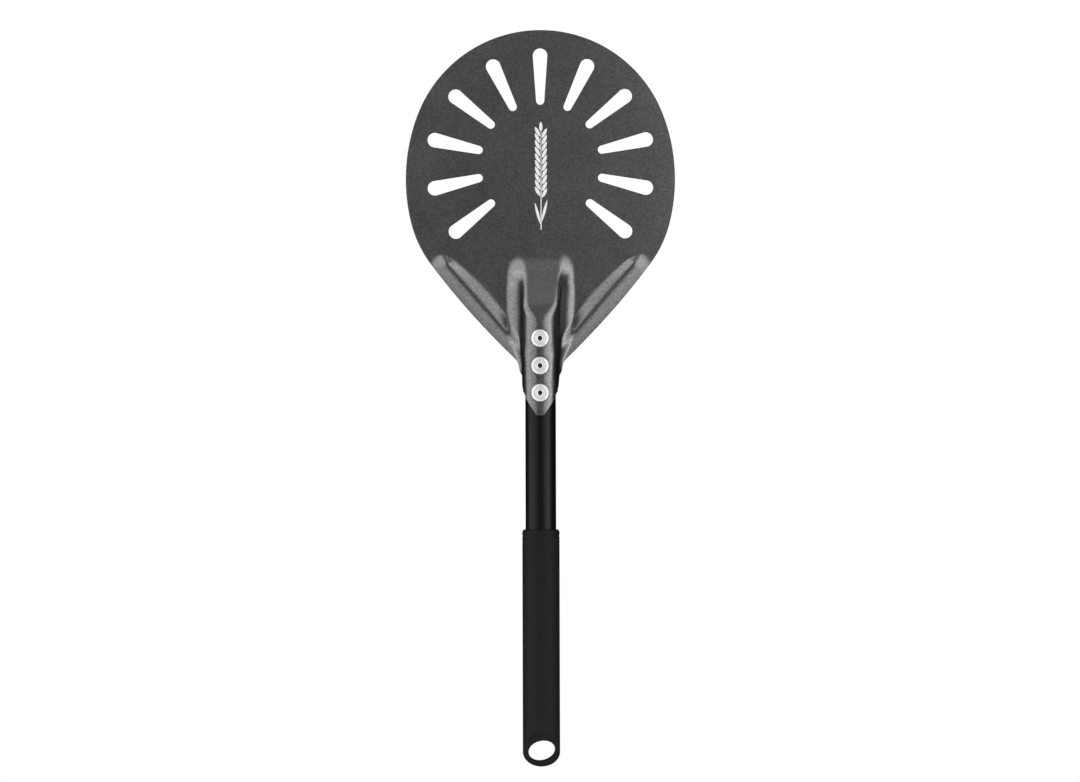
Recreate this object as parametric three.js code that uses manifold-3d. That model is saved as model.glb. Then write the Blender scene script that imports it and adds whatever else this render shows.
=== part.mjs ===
// Pizza turning peel: a round, slotted, pressed sheet blade riveted to a tubular
// handle with a moulded grip. Millimetres, +Z up. The origin lies under the
// centre of the slot ring, on the blade's underside. +Y points to the blade's
// tip and the handle runs along -Y.
import * as THREE from 'three';
import { mergeVertices } from 'three/addons/utils/BufferGeometryUtils.js';
import Module from 'manifold-3d';

// Blade sheet
const SHEET = 2.0;
const TIP_RADIUS = 98.8;
const TIP_CENTRE_Y = 1.9;
const SIDE_RADIUS = 136.1;
const SIDE_CENTRE = { x: -34.8, y: -11.5 };
const HIP_RADIUS = 85.8;
const HIP_CENTRE = { x: 14.0, y: -23.69 };
const TIP_END_Y = 37.3;
const SIDE_END_Y = -44.3;
const HIP_END = { x: 80.34, y: -78.1 };
const SHOULDER_END = { x: 19.45, y: -146.5 };
const SHOULDER_BULGE = 2.4;
const WAIST_RADIUS = 13;
const WAIST_SLANT = THREE.MathUtils.degToRad(10);
const DISC_END_Y = -62.5;

// Outline segments of the disc, and of each slot's ends
const TIP_SEGMENTS = 22;
const SIDE_SEGMENTS = 16;
const SLOT_END_SEGMENTS = 7;

// Slots: a tapered slot on each spoke of an even ring, the rearmost ones left out
const SLOT_PITCH = (2 * Math.PI) / 14;
const SLOT_SIDE_COUNT = 5;
const SLOT_INNER = { centre: 47.6, radius: 3.1 };
const SLOT_OUTER = { centre: 81.4, radius: 5.5 };

// Neck: a ramp that rises from the disc and closes into a half pipe over the tube.
// Pairs are values before and after the flare tightens towards the waist.
const RAMP_Y = [-63.5, -117];
const NECK_HEIGHT = 25.8;
const ARCH_RADIUS = 12.8;
const PLATEAU_HALF_WIDTH = 9.5;
const PLATEAU_TAPER = [-104, -118];
const CORNER_SOFTNESS = 5.5;
const FOOT_HALF_WIDTH = 27.3;
const FOOT_TAPER = [-110, -128];
const FOOT_HALF_WIDTH_AT_ARCH = 26.5;
const FLARE_TAPER = [-124, -151];
const FLARE_OUTER = [26, 8];
const FLARE_INNER = [14, 3];
const FLARE_ANGLES = [30, 50].map(THREE.MathUtils.degToRad);
const FOOT_REACH = [3.3, 1.6];
const FOOT_SOFTNESS = 5;
const FOOT_SOFTNESS_FADE = 4;
const STEEPEST_FLANK = THREE.MathUtils.degToRad(88);

// Neck end: the side edges sweep up to the half pipe and meet in a pointed tongue
const SWEEP_Y = [-153, -171];
const SWEEP_ARC_LENGTH = 16;
const TONGUE_CORNER = { y: -172.5, arc: 14 };
const TONGUE_TIP = { y: -188.4, arc: 3.2 };
const TONGUE_END = { y: -189.1, arc: 1.0 };

// Shoulder ribs: one raised ridge along each rear edge of the blade
const RIB_START = { x: 73.2, y: -72.8 };
const RIB_END = { x: 26.8, y: -126 };
const RIB_HEIGHT = 3.6;
const RIB_OUTER_WIDTH = [12, 12];
const RIB_INNER_WIDTH = [6.6, 10.4];
const RIB_CREST = 1;
const RIB_EASE = 0.2;
const RIB_RISE = [-7, 5];
const RIB_START_Y = [DISC_END_Y, -71];

// Grid of the pressed rear: columns on each side of the middle
const NECK_COLUMNS = 14;
const FLANGE_COLUMNS = 4;
const NECK_COLUMN_SHARE = 0.75;
const DISC_OVERLAP = 1.5;

// Handle tube and grip, both on one axis parallel to the blade
const AXIS_Z = 14;
const TUBE_RADIUS = 11.5;
const TUBE_WALL = 1.4;
const TUBE_Y = [-420, -124.3];
const TUBE_SEGMENTS = 48;
const GRIP_SEGMENTS = 40;
const GRIP_RADIUS = 14;
const GRIP_Y = [-453.1, -274.8];
const GRIP_LIP = { width: 2.1, length: 2.2 };
const GRIP_GROOVE = { y: -279.4, depth: 0.35, width: 0.9 };
const BORE_RADIUS = 11.8;
const BORE_END_Y = -420.4;
const EYE_HALF_THICKNESS = 7;
const EYE_TAPER = [-424, -438];
const EYE_TAPER_SEGMENTS = 8;
const EYE_END = { y: -442, length: 11.1 };
const HANG_HOLE = { x: 0.2, y: -440.9, long: 10.1, short: 7.2, tilt: THREE.MathUtils.degToRad(16) };

// Blind rivets through the half pipe and the tube's upper wall
const RIVETS = { front: -131.2, middle: -151.8, rear: -172.2 };
const RIVET_HEAD_RADIUS = 6.6;
const RIVET_HEAD_RIM_Z = 28.6;
const RIVET_HEAD_TOP_Z = 29.6;
const RIVET_SHANK_RADIUS = 3.2;
const RIVET_HOLE_RADIUS = 3.5;
const RIVET_BORE_RADIUS = 1.75;
const RIVET_BULB = { radius: 4.3, top: 23.2, shoulder: 21.8, belly: 19.6, bottom: 18.5 };
const RIVET_SEAT_GAP = 0.25;
const RIVET_SEGMENTS = 20;
const MANDREL = { radius: 1.45, top: 28.0, headTop: 18.2, headRadius: 2.8, headBottom: 15.8 };

const { lerp, clamp } = THREE.MathUtils;
const wasm = await Module();
wasm.setup();

const eased = (t) => THREE.MathUtils.smoothstep(t, 0, 1);
const easedBetween = (value, [from, to]) => eased((value - from) / (to - from));

// Solids -----------------------------------------------------------------

function signedVolume(position, index) {
  const [a, b, c] = [new THREE.Vector3(), new THREE.Vector3(), new THREE.Vector3()];
  let total = 0;
  for (let i = 0; i < index.count; i += 3) {
    a.fromBufferAttribute(position, index.getX(i));
    b.fromBufferAttribute(position, index.getX(i + 1));
    c.fromBufferAttribute(position, index.getX(i + 2));
    total += a.dot(b.cross(c));
  }
  return total;
}

// A closed geometry as a solid whose faces point outwards.
function solid(geometry) {
  geometry.deleteAttribute('normal');
  geometry.deleteAttribute('uv');
  const merged = mergeVertices(geometry, 1e-4);
  const triangles = Uint32Array.from(merged.index.array);
  if (signedVolume(merged.attributes.position, merged.index) < 0) triangles.reverse();
  const vertProperties = Float32Array.from(merged.attributes.position.array);
  return new wasm.Manifold(new wasm.Mesh({ numProp: 3, vertProperties, triVerts: triangles }));
}

function part(name, shape, colour, roughness, metalness) {
  const { vertProperties, triVerts } = shape.getMesh();
  const geometry = new THREE.BufferGeometry();
  geometry.setAttribute('position', new THREE.BufferAttribute(vertProperties, 3));
  geometry.setIndex(new THREE.BufferAttribute(triVerts, 1));
  geometry.computeVertexNormals();
  const material = new THREE.MeshStandardMaterial({ color: colour, roughness, metalness });
  const mesh = new THREE.Mesh(geometry, material);
  mesh.name = name;
  return mesh;
}

// A profile of [radius, distance along the axis] points, spun about Y.
const spun = (profile, segments) =>
  new THREE.LatheGeometry(profile.map(([r, y]) => new THREE.Vector2(r, y)), segments);
const lathe = (profile, segments) => solid(spun(profile, segments));

// The same, about Z.
const uprightLathe = (profile, segments) => solid(spun(profile, segments).rotateX(Math.PI / 2));

function plate(shape, bottom, top, curveSegments) {
  const settings = { depth: top - bottom, bevelEnabled: false, curveSegments };
  return solid(new THREE.ExtrudeGeometry(shape, settings).translate(0, 0, bottom));
}

// Blade plan -------------------------------------------------------------

const arcX = (centre, radius, y) => centre.x + Math.sqrt(radius ** 2 - (y - centre.y) ** 2);

// Half of the blade's width at y, down to the waist.
function halfWidth(y) {
  if (y > TIP_END_Y) return arcX({ x: 0, y: TIP_CENTRE_Y }, TIP_RADIUS, y);
  if (y > SIDE_END_Y) return arcX(SIDE_CENTRE, SIDE_RADIUS, y);
  if (y > HIP_END.y) return arcX(HIP_CENTRE, HIP_RADIUS, y);
  if (y > SHOULDER_END.y) {
    const t = (y - HIP_END.y) / (SHOULDER_END.y - HIP_END.y);
    return lerp(HIP_END.x, SHOULDER_END.x, t) + SHOULDER_BULGE * 4 * t * (1 - t);
  }
  const reach = WAIST_RADIUS * Math.SQRT1_2;
  const centre = { x: SHOULDER_END.x + reach, y: SHOULDER_END.y - reach };
  const below = Math.max(0, centre.y + WAIST_RADIUS * Math.sin(WAIST_SLANT) - y);
  return 2 * centre.x - arcX(centre, WAIST_RADIUS, y + below) - below * Math.tan(WAIST_SLANT);
}

function slotPath(angle) {
  const sine = (SLOT_OUTER.radius - SLOT_INNER.radius) / (SLOT_OUTER.centre - SLOT_INNER.centre);
  const lean = Math.asin(sine);
  const spoke = Math.PI / 2 - angle;
  const path = new THREE.Path();
  const centre = (distance) => [distance * Math.cos(spoke), distance * Math.sin(spoke)];
  const side = Math.PI / 2 + lean;
  path.absarc(...centre(SLOT_OUTER.centre), SLOT_OUTER.radius, spoke - side, spoke + side);
  path.absarc(...centre(SLOT_INNER.centre), SLOT_INNER.radius, spoke + side, spoke + 2 * Math.PI - side);
  path.closePath();
  return path;
}

function disc() {
  const right = [];
  const tipAngle = Math.asin((TIP_END_Y - TIP_CENTRE_Y) / TIP_RADIUS);
  for (let i = 1; i <= TIP_SEGMENTS; i += 1) {
    const angle = lerp(Math.PI / 2, tipAngle, i / TIP_SEGMENTS);
    const y = TIP_CENTRE_Y + TIP_RADIUS * Math.sin(angle);
    right.push(new THREE.Vector2(TIP_RADIUS * Math.cos(angle), y));
  }
  for (let i = 1; i <= SIDE_SEGMENTS; i += 1) {
    const y = lerp(TIP_END_Y, DISC_END_Y, i / SIDE_SEGMENTS);
    right.push(new THREE.Vector2(halfWidth(y), y));
  }
  const left = right.map((point) => new THREE.Vector2(-point.x, point.y)).reverse();
  const tip = new THREE.Vector2(0, TIP_CENTRE_Y + TIP_RADIUS);
  const shape = new THREE.Shape([tip, ...right, ...left].reverse());
  for (let i = -SLOT_SIDE_COUNT; i <= SLOT_SIDE_COUNT; i += 1) shape.holes.push(slotPath(i * SLOT_PITCH));
  return plate(shape, 0, SHEET, SLOT_END_SEGMENTS);
}

// Neck and ribs ----------------------------------------------------------

// Height of the neck's crown above the flat sheet.
const crownHeight = (y) => NECK_HEIGHT * easedBetween(y, RAMP_Y);

// The arcs of a neck section with its flank at an angle: how far out they reach,
// how high they rise, and each one's length and turn from the middle outwards.
function sectionArcs(angle, plateau, height, pinch) {
  const [low, middle] = FLARE_ANGLES.map((bend) => Math.min(angle, bend));
  const pairs = [FLARE_OUTER, FLARE_INNER, FOOT_REACH];
  const [outer, inner, footReach] = pairs.map((pair) => lerp(...pair, pinch));
  const foot = footReach + FOOT_SOFTNESS * Math.exp(-height / FOOT_SOFTNESS_FADE);
  const softness = CORNER_SOFTNESS * (1 - height / NECK_HEIGHT) ** 2;
  const corner = (ARCH_RADIUS - plateau) * Math.sin(angle) + softness;
  const reach = corner + foot + outer * (Math.sin(middle) - Math.sin(low))
    + inner * (Math.sin(angle) - Math.sin(middle));
  const rise = corner * Math.tan(angle / 2) + foot * Math.tan(low / 2)
    + outer * (Math.cos(low) - Math.cos(middle)) + inner * (Math.cos(middle) - Math.cos(angle));
  const arcs = [
    { length: plateau, turn: 0 },
    { length: (corner / Math.sin(angle)) * angle, turn: angle },
    { length: inner * (angle - middle), turn: middle - angle },
    { length: outer * (middle - low), turn: low - middle },
    { length: (foot / Math.sin(low)) * low, turn: -low },
  ];
  return { reach, rise, arcs };
}

// The neck's section at y, from the middle outwards: plateau, top corner, flank,
// flared foot in two radii, then flat. The flank's angle brings the foot out to
// its width. Near the waist the flare is tighter, on a longer flank.
function neckSection(y) {
  const height = crownHeight(y);
  const plateau = PLATEAU_HALF_WIDTH * (1 - easedBetween(y, PLATEAU_TAPER));
  const width = lerp(FOOT_HALF_WIDTH, FOOT_HALF_WIDTH_AT_ARCH, easedBetween(y, FOOT_TAPER)) - plateau;
  let [shallow, steep] = [1e-6, STEEPEST_FLANK];
  for (let i = 0; i < 40; i += 1) {
    const trial = (shallow + steep) / 2;
    const { reach, rise } = sectionArcs(trial, plateau, height, 0);
    if (rise + Math.max(0, width - reach) * Math.tan(trial) < height) shallow = trial;
    else steep = trial;
  }
  const pinch = easedBetween(y, FLARE_TAPER);
  const angle = lerp(steep, STEEPEST_FLANK, pinch);
  const { rise, arcs } = sectionArcs(angle, plateau, height, pinch);
  const flank = { length: Math.max(0, height - rise) / Math.sin(angle), turn: 0 };
  const steps = [...arcs.slice(0, 2), flank, ...arcs.slice(2)];
  const foot = steps.reduce((sum, { length }) => sum + length, 0);
  return { height, steps, foot };
}

// The point at an arc length from the middle of a section.
function walkSection(section, arcLength) {
  let [x, z, heading, left] = [0, section.height, 0, arcLength];
  for (const { length, turn } of [...section.steps, { length: Infinity, turn: 0 }]) {
    const travel = Math.min(length, left);
    const swing = turn === 0 ? 0 : (turn * travel) / length;
    const chord = swing === 0 ? travel : (travel * Math.sin(swing / 2)) / (swing / 2);
    x += chord * Math.cos(heading + swing / 2);
    z -= chord * Math.sin(heading + swing / 2);
    heading += swing;
    left -= travel;
    if (left <= 0) break;
  }
  return { x, z };
}

// From 1 to 0 over a width: rounded at the crest, then an even slope that eases
// off at its foot.
function slopeDown(distance, width) {
  const crest = RIB_CREST / width;
  const fall = Math.hypot(distance / width, crest) - crest;
  const blend = clamp(0.5 + (1 - fall) / (2 * RIB_EASE), 0, 1);
  return 1 - lerp(1, fall, blend) + RIB_EASE * blend * (1 - blend);
}

// Height of the shoulder rib above the flat sheet.
function ribHeight(x, y) {
  const run = Math.hypot(RIB_END.x - RIB_START.x, RIB_END.y - RIB_START.y);
  const along = { x: (RIB_END.x - RIB_START.x) / run, y: (RIB_END.y - RIB_START.y) / run };
  const [dx, dy] = [x - RIB_START.x, y - RIB_START.y];
  const distance = dx * along.x + dy * along.y;
  const across = dx * along.y - dy * along.x;
  const width = lerp(...(across > 0 ? RIB_INNER_WIDTH : RIB_OUTER_WIDTH), clamp(distance / run, 0, 1));
  const rise = easedBetween(distance, RIB_RISE) * easedBetween(y, RIB_START_Y);
  return RIB_HEIGHT * rise * slopeDown(Math.abs(across), width);
}

// Arc length from the middle to the sheet's edge at y.
function edgeArcLength(y, section) {
  const between = (from, to) => lerp(from.arc, to.arc, (y - from.y) / (to.y - from.y));
  if (y < TONGUE_TIP.y) return between(TONGUE_TIP, TONGUE_END);
  if (y < TONGUE_CORNER.y) return between(TONGUE_CORNER, TONGUE_TIP);
  if (y < SWEEP_Y[1]) return between({ y: SWEEP_Y[1], arc: SWEEP_ARC_LENGTH }, TONGUE_CORNER);
  let [short, long] = [0, 200];
  for (let i = 0; i < 40; i += 1) {
    const middle = (short + long) / 2;
    if (walkSection(section, middle).x < halfWidth(y)) short = middle;
    else long = middle;
  }
  return lerp(long, SWEEP_ARC_LENGTH, easedBetween(y, SWEEP_Y));
}

// The sheet's middle surface, by y and signed arc length from the middle.
function sheetPoint(section, y, arcLength) {
  const { x, z } = walkSection(section, Math.abs(arcLength));
  const height = z + ribHeight(x, y) * (1 - clamp(z / NECK_HEIGHT, 0, 1));
  return new THREE.Vector3(Math.sign(arcLength) * x, y, SHEET / 2 + height);
}

function sheetNormal(y, arcLength) {
  const step = 0.05;
  const [ahead, behind, here] = [neckSection(y + step), neckSection(y - step), neckSection(y)];
  const alongY = sheetPoint(ahead, y + step, arcLength).sub(sheetPoint(behind, y - step, arcLength));
  const alongX = sheetPoint(here, y, arcLength + step).sub(sheetPoint(here, y, arcLength - step));
  return alongX.cross(alongY).normalize();
}

// The rows of sections run from just inside the disc to the tongue's end.
function rearRows() {
  const stops = [
    [DISC_END_Y + DISC_OVERLAP, 1], [DISC_END_Y, 1],
    [RAMP_Y[0], 7], [-84, 5], [-104, 8], [FLARE_TAPER[0], 10],
    [FLARE_TAPER[1], 7], [SWEEP_Y[1], 1], [TONGUE_CORNER.y, 4], [TONGUE_TIP.y, 1], [TONGUE_END.y, 0],
  ];
  const rows = [];
  for (let i = 0; i + 1 < stops.length; i += 1) {
    const [[from, count], [to]] = [stops[i], stops[i + 1]];
    for (let k = 0; k < count; k += 1) rows.push(lerp(from, to, k / count));
  }
  return [...rows, TONGUE_END.y];
}

// The pressed rear of the blade as a grid of sections, offset to both faces.
function pressedRear() {
  const rows = rearRows();
  const half = NECK_COLUMNS + FLANGE_COLUMNS;
  const positions = { upper: [], lower: [] };
  for (const y of rows) {
    const section = neckSection(y);
    const edge = edgeArcLength(y, section);
    const foot = Math.min(section.foot, NECK_COLUMN_SHARE * edge);
    for (let j = -half; j <= half; j += 1) {
      const step = Math.abs(j);
      const reach = step <= NECK_COLUMNS
        ? (foot * step) / NECK_COLUMNS
        : lerp(foot, edge, (step - NECK_COLUMNS) / FLANGE_COLUMNS);
      const arcLength = Math.sign(j) * reach;
      const point = sheetPoint(section, y, arcLength);
      const offset = sheetNormal(y, arcLength).multiplyScalar(SHEET / 2);
      positions.upper.push(...point.clone().add(offset));
      positions.lower.push(...point.clone().sub(offset));
    }
  }
  return solid(closedGrid(positions, rows.length, 2 * half + 1));
}

// A closed slab from two matching grids of points.
function closedGrid({ upper, lower }, rowCount, columnCount) {
  const size = rowCount * columnCount;
  const index = [];
  const quad = (a, b, c, d) => index.push(a, b, c, a, c, d);
  for (let i = 0; i + 1 < rowCount; i += 1) {
    for (let j = 0; j + 1 < columnCount; j += 1) {
      const corner = i * columnCount + j;
      quad(corner, corner + columnCount, corner + columnCount + 1, corner + 1);
      quad(size + corner, size + corner + 1, size + corner + columnCount + 1, size + corner + columnCount);
    }
  }
  for (let i = 0; i + 1 < rowCount; i += 1) {
    const [first, last] = [i * columnCount, (i + 1) * columnCount - 1];
    quad(first, size + first, size + first + columnCount, first + columnCount);
    quad(last, last + columnCount, size + last + columnCount, size + last);
  }
  for (let j = 0; j + 1 < columnCount; j += 1) {
    const end = size - columnCount + j;
    quad(j, j + 1, size + j + 1, size + j);
    quad(end, size + end, size + end + 1, end + 1);
  }
  const geometry = new THREE.BufferGeometry();
  geometry.setAttribute('position', new THREE.Float32BufferAttribute([...upper, ...lower], 3));
  geometry.setIndex(index);
  return geometry;
}

function rivetHole(y) {
  const geometry = new THREE.CylinderGeometry(RIVET_HOLE_RADIUS, RIVET_HOLE_RADIUS, 12, 24);
  return solid(geometry.rotateX(Math.PI / 2).translate(0, y, AXIS_Z + TUBE_RADIUS));
}

function blade() {
  let shape = disc().add(pressedRear());
  for (const y of Object.values(RIVETS)) shape = shape.subtract(rivetHole(y));
  return part('blade', shape, 0x4a4a4b, 0.5, 0.8);
}

// Handle -----------------------------------------------------------------

function handleTube() {
  const [back, front] = TUBE_Y;
  const inner = TUBE_RADIUS - TUBE_WALL;
  const profile = [[inner, back], [TUBE_RADIUS, back], [TUBE_RADIUS, front], [inner, front], [inner, back]];
  let shape = solid(spun(profile, TUBE_SEGMENTS).translate(0, 0, AXIS_Z));
  for (const y of Object.values(RIVETS)) shape = shape.subtract(rivetHole(y));
  return part('handle_tube', shape, 0x1c1c1d, 0.38, 0.7);
}

function gripBody() {
  const [back, front] = GRIP_Y;
  const { y, depth, width } = GRIP_GROOVE;
  return lathe([
    [0, back], [GRIP_RADIUS, back],
    [GRIP_RADIUS, y - width], [GRIP_RADIUS - depth, y - width / 2], [GRIP_RADIUS, y],
    [GRIP_RADIUS, front - GRIP_LIP.length], [GRIP_RADIUS - GRIP_LIP.width, front],
    [BORE_RADIUS, front], [BORE_RADIUS, BORE_END_Y], [0, BORE_END_Y],
  ], GRIP_SEGMENTS);
}

// Plan outline of the grip: straight sides closed by half an ellipse.
function gripPlan() {
  const shape = new THREE.Shape();
  shape.moveTo(GRIP_RADIUS + 1, GRIP_Y[1] + 1);
  shape.lineTo(-GRIP_RADIUS - 1, GRIP_Y[1] + 1);
  shape.lineTo(-GRIP_RADIUS - 1, EYE_END.y);
  shape.lineTo(-GRIP_RADIUS, EYE_END.y);
  shape.absellipse(0, EYE_END.y, GRIP_RADIUS, EYE_END.length, Math.PI, 2 * Math.PI, false);
  shape.lineTo(GRIP_RADIUS + 1, EYE_END.y);
  shape.closePath();
  return plate(shape, -GRIP_RADIUS - 1, GRIP_RADIUS + 1, 12);
}

// Side outline of the grip: full height, then easing down to the flat hanging eye.
function gripSide() {
  const full = GRIP_RADIUS + 1;
  const upper = [new THREE.Vector2(full, GRIP_Y[1] + 1), new THREE.Vector2(full, EYE_TAPER[0])];
  for (let i = 0; i <= EYE_TAPER_SEGMENTS; i += 1) {
    const t = i / EYE_TAPER_SEGMENTS;
    const y = lerp(...EYE_TAPER, t);
    upper.push(new THREE.Vector2(lerp(GRIP_RADIUS, EYE_HALF_THICKNESS, eased(t)), y));
  }
  upper.push(new THREE.Vector2(EYE_HALF_THICKNESS, GRIP_Y[0] - 1));
  const lower = upper.map((point) => new THREE.Vector2(-point.x, point.y)).reverse();
  const settings = { depth: 2 * full, bevelEnabled: false };
  const geometry = new THREE.ExtrudeGeometry(new THREE.Shape([...upper, ...lower]), settings);
  return solid(geometry.translate(0, 0, -full).rotateY(Math.PI / 2));
}

function hangHole() {
  const { x, y, long, short, tilt } = HANG_HOLE;
  const shape = new THREE.Shape();
  shape.absellipse(x, y, long, short, 0, 2 * Math.PI, false, tilt);
  return plate(shape, -GRIP_RADIUS - 1, GRIP_RADIUS + 1, 16);
}

function grip() {
  const shape = gripBody().intersect(gripPlan()).intersect(gripSide()).subtract(hangHole());
  const mesh = part('grip', shape, 0x202021, 0.6, 0.0);
  mesh.position.z = AXIS_Z;
  return mesh;
}

// Rivets -----------------------------------------------------------------

// Domed head, shank and clinched bulb in one piece. The head's underside is
// hollowed to sit on the half pipe.
function rivetBody(end, y) {
  const { radius, top, shoulder, belly, bottom } = RIVET_BULB;
  const dome = [0.25, 0.5, 0.75, 0.92].map((share) => [
    lerp(RIVET_HEAD_RADIUS, RIVET_BORE_RADIUS, share),
    lerp(RIVET_HEAD_RIM_Z, RIVET_HEAD_TOP_Z, Math.sin((share * Math.PI) / 2)),
  ]);
  const blank = uprightLathe([
    [RIVET_BORE_RADIUS, bottom], [RIVET_SHANK_RADIUS, bottom], [radius, belly], [radius, shoulder],
    [RIVET_SHANK_RADIUS, top], [RIVET_SHANK_RADIUS, 26], [RIVET_HEAD_RADIUS, 26],
    [RIVET_HEAD_RADIUS, RIVET_HEAD_RIM_Z], ...dome, [RIVET_BORE_RADIUS, RIVET_HEAD_TOP_Z - 0.3],
    [RIVET_BORE_RADIUS, bottom],
  ], RIVET_SEGMENTS);
  const seatRadius = ARCH_RADIUS + SHEET / 2 + RIVET_SEAT_GAP;
  const seat = solid(new THREE.CylinderGeometry(seatRadius, seatRadius, 20, 60).translate(0, 0, AXIS_Z));
  const shankProfile = [[0, 20], [RIVET_SHANK_RADIUS + 0.01, 20], [RIVET_SHANK_RADIUS + 0.01, 30], [0, 30]];
  const bulbProfile = [[0, 10], [radius + 1, 10], [radius + 1, top], [0, top]];
  const kept = uprightLathe(shankProfile, RIVET_SEGMENTS).add(uprightLathe(bulbProfile, RIVET_SEGMENTS));
  const shape = blank.subtract(seat.subtract(kept));
  const mesh = part(`rivet_body_${end}`, shape, 0xd8d8d8, 0.35, 0.9);
  mesh.position.y = y;
  return mesh;
}

// What is left of the pulled mandrel: its stem in the bore and its head below.
function rivetMandrel(end, y) {
  const { radius, top, headTop, headRadius, headBottom } = MANDREL;
  const shape = uprightLathe([
    [0, headBottom], [headRadius * 0.6, headBottom], [headRadius, headBottom + 1],
    [headRadius, headTop - 0.3], [headRadius - 0.4, headTop], [radius, headTop],
    [radius, top - 0.4], [radius * 0.6, top], [0, top],
  ], 16);
  const mesh = part(`rivet_mandrel_${end}`, shape, 0x5c5d60, 0.45, 0.9);
  mesh.position.y = y;
  return mesh;
}

const peel = new THREE.Group();
peel.add(blade(), handleTube(), grip());
for (const [end, y] of Object.entries(RIVETS)) peel.add(rivetBody(end, y), rivetMandrel(end, y));

export default peel;
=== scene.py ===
"""Looks of the pizza turning peel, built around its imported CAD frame.

Meshes are worked out in millimetres in the CAD's own axes and scaled to metres
when they are made: +Y to the blade's tip, +Z out of the serving face.
"""
import math
from types import SimpleNamespace

import bmesh
import bpy
import numpy as np
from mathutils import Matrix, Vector
from mathutils.geometry import delaunay_2d_cdt


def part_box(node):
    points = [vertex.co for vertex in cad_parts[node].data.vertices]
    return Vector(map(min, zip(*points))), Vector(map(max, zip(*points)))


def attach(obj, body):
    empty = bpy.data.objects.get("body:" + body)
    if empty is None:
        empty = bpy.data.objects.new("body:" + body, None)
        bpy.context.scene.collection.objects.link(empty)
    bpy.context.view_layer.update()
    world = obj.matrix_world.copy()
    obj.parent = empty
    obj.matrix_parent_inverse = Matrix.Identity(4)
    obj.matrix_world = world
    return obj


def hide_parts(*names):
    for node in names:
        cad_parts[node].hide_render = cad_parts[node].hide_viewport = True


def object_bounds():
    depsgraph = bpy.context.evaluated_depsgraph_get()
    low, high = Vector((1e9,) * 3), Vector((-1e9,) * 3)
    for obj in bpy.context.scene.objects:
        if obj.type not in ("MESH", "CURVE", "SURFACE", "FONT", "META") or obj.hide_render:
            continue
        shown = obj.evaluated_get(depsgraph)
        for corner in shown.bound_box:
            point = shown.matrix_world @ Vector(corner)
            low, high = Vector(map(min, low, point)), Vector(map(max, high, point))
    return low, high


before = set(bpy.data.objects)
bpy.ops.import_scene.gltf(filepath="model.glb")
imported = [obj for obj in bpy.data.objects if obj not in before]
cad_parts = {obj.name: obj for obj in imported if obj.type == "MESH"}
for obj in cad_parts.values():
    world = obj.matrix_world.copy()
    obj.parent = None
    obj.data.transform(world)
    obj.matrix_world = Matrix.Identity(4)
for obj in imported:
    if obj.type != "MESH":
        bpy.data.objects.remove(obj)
cad_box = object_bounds()
MM = 0.001
WELD_DISTANCE = 2e-6
BISECTIONS = 40
FAR = 1e9
# Has delaunay_2d_cdt keep only the triangles inside the outlines
KEEP_INSIDE = 1


def cad_size(node):
    """Lowest and highest corner of a CAD node in millimetres."""
    low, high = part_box(node)
    return np.array(low) / MM, np.array(high) / MM


# Driving dimensions in millimetres ------------------------------------------
# A pair named TAPER holds the y where a change starts and the y where it is complete.

# The sheet. Its edge is bevelled: (reach past the outline, drop from the face)
SHEET = 2.0
EDGE_PROFILE = ((-0.42, 0), (-0.36, 0.05), (-0.1, 0.5), (0, 0.8))

# Blade outline, from the tip to the waist
TIP_CENTRE_Y = 1.9
TIP_RADIUS = cad_size("blade")[1][1] - TIP_CENTRE_Y
SIDE_RADIUS = 136.1
SIDE_CENTRE = (-34.8, -11.5)
HIP_RADIUS = 85.8
HIP_CENTRE = (14.0, -23.69)
TIP_END_Y = 37.3
SIDE_END_Y = -44.3
HIP_END = (80.34, -78.1)
SHOULDER_END = (19.45, -146.5)
SHOULDER_BULGE = 2.4
WAIST_RADIUS = 13
WAIST_SLANT = math.radians(10)
DISC_END_Y = -62.5
TIP_STEPS = 90
SIDE_STEPS = 80

# Slots: (distance from the centre, radius) of the two ends
SLOT_PITCH = 2 * math.pi / 14
SLOT_SIDE_COUNT = 5
SLOT_INNER = (47.6, 3.1)
SLOT_OUTER = (81.4, 5.5)
SLOT_END_STEPS = 21

# Neck: a ramp that closes into a half pipe. FLARE and FOOT pairs are the values
# before and after the flare tightens towards the waist.
RAMP_Y = (-63.5, -117)
NECK_HEIGHT = 25.8
ARCH_RADIUS = 12.8
PLATEAU_HALF_WIDTH = 9.5
PLATEAU_TAPER = (-104, -118)
PLATEAU_SPREAD = 2.4
PLATEAU_SPREAD_TAPER = (-68, -88)
CORNER_SOFTNESS = 5.5
FOOT_HALF_WIDTH = 26.2
FOOT_TAPER = (-110, -128)
FOOT_HALF_WIDTH_AT_ARCH = 26.5
NECK_LEAN = 1.2
NECK_LEAN_TAPER = (-90, -114)
FLARE_TAPER = (-124, -151)
FLARE_OUTER = (26, 9)
FLARE_INNER = (14, 1.6)
FLARE_ANGLES = (math.radians(30), math.radians(50))
FOOT_REACH = (3.3, 1.6)
FOOT_SOFTNESS = 5.0
FOOT_SOFTNESS_FADE = 4.0
STEEPEST_FLANK = math.radians(88)
NECK_COLUMNS = 56
FLANGE_COLUMNS = 34
NECK_COLUMN_SHARE = 0.75

# Neck end: the edges sweep up to the half pipe and meet in a tongue, (y, arc from the middle)
SWEEP_Y = (-155.5, -171)
SWEEP_ARC_LENGTH = 16.0
TONGUE_CORNER = (-172.5, 14.0)
TONGUE_TIP = (-188.4, 3.2)
TONGUE_END_Y = cad_size("blade")[0][1]

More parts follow.
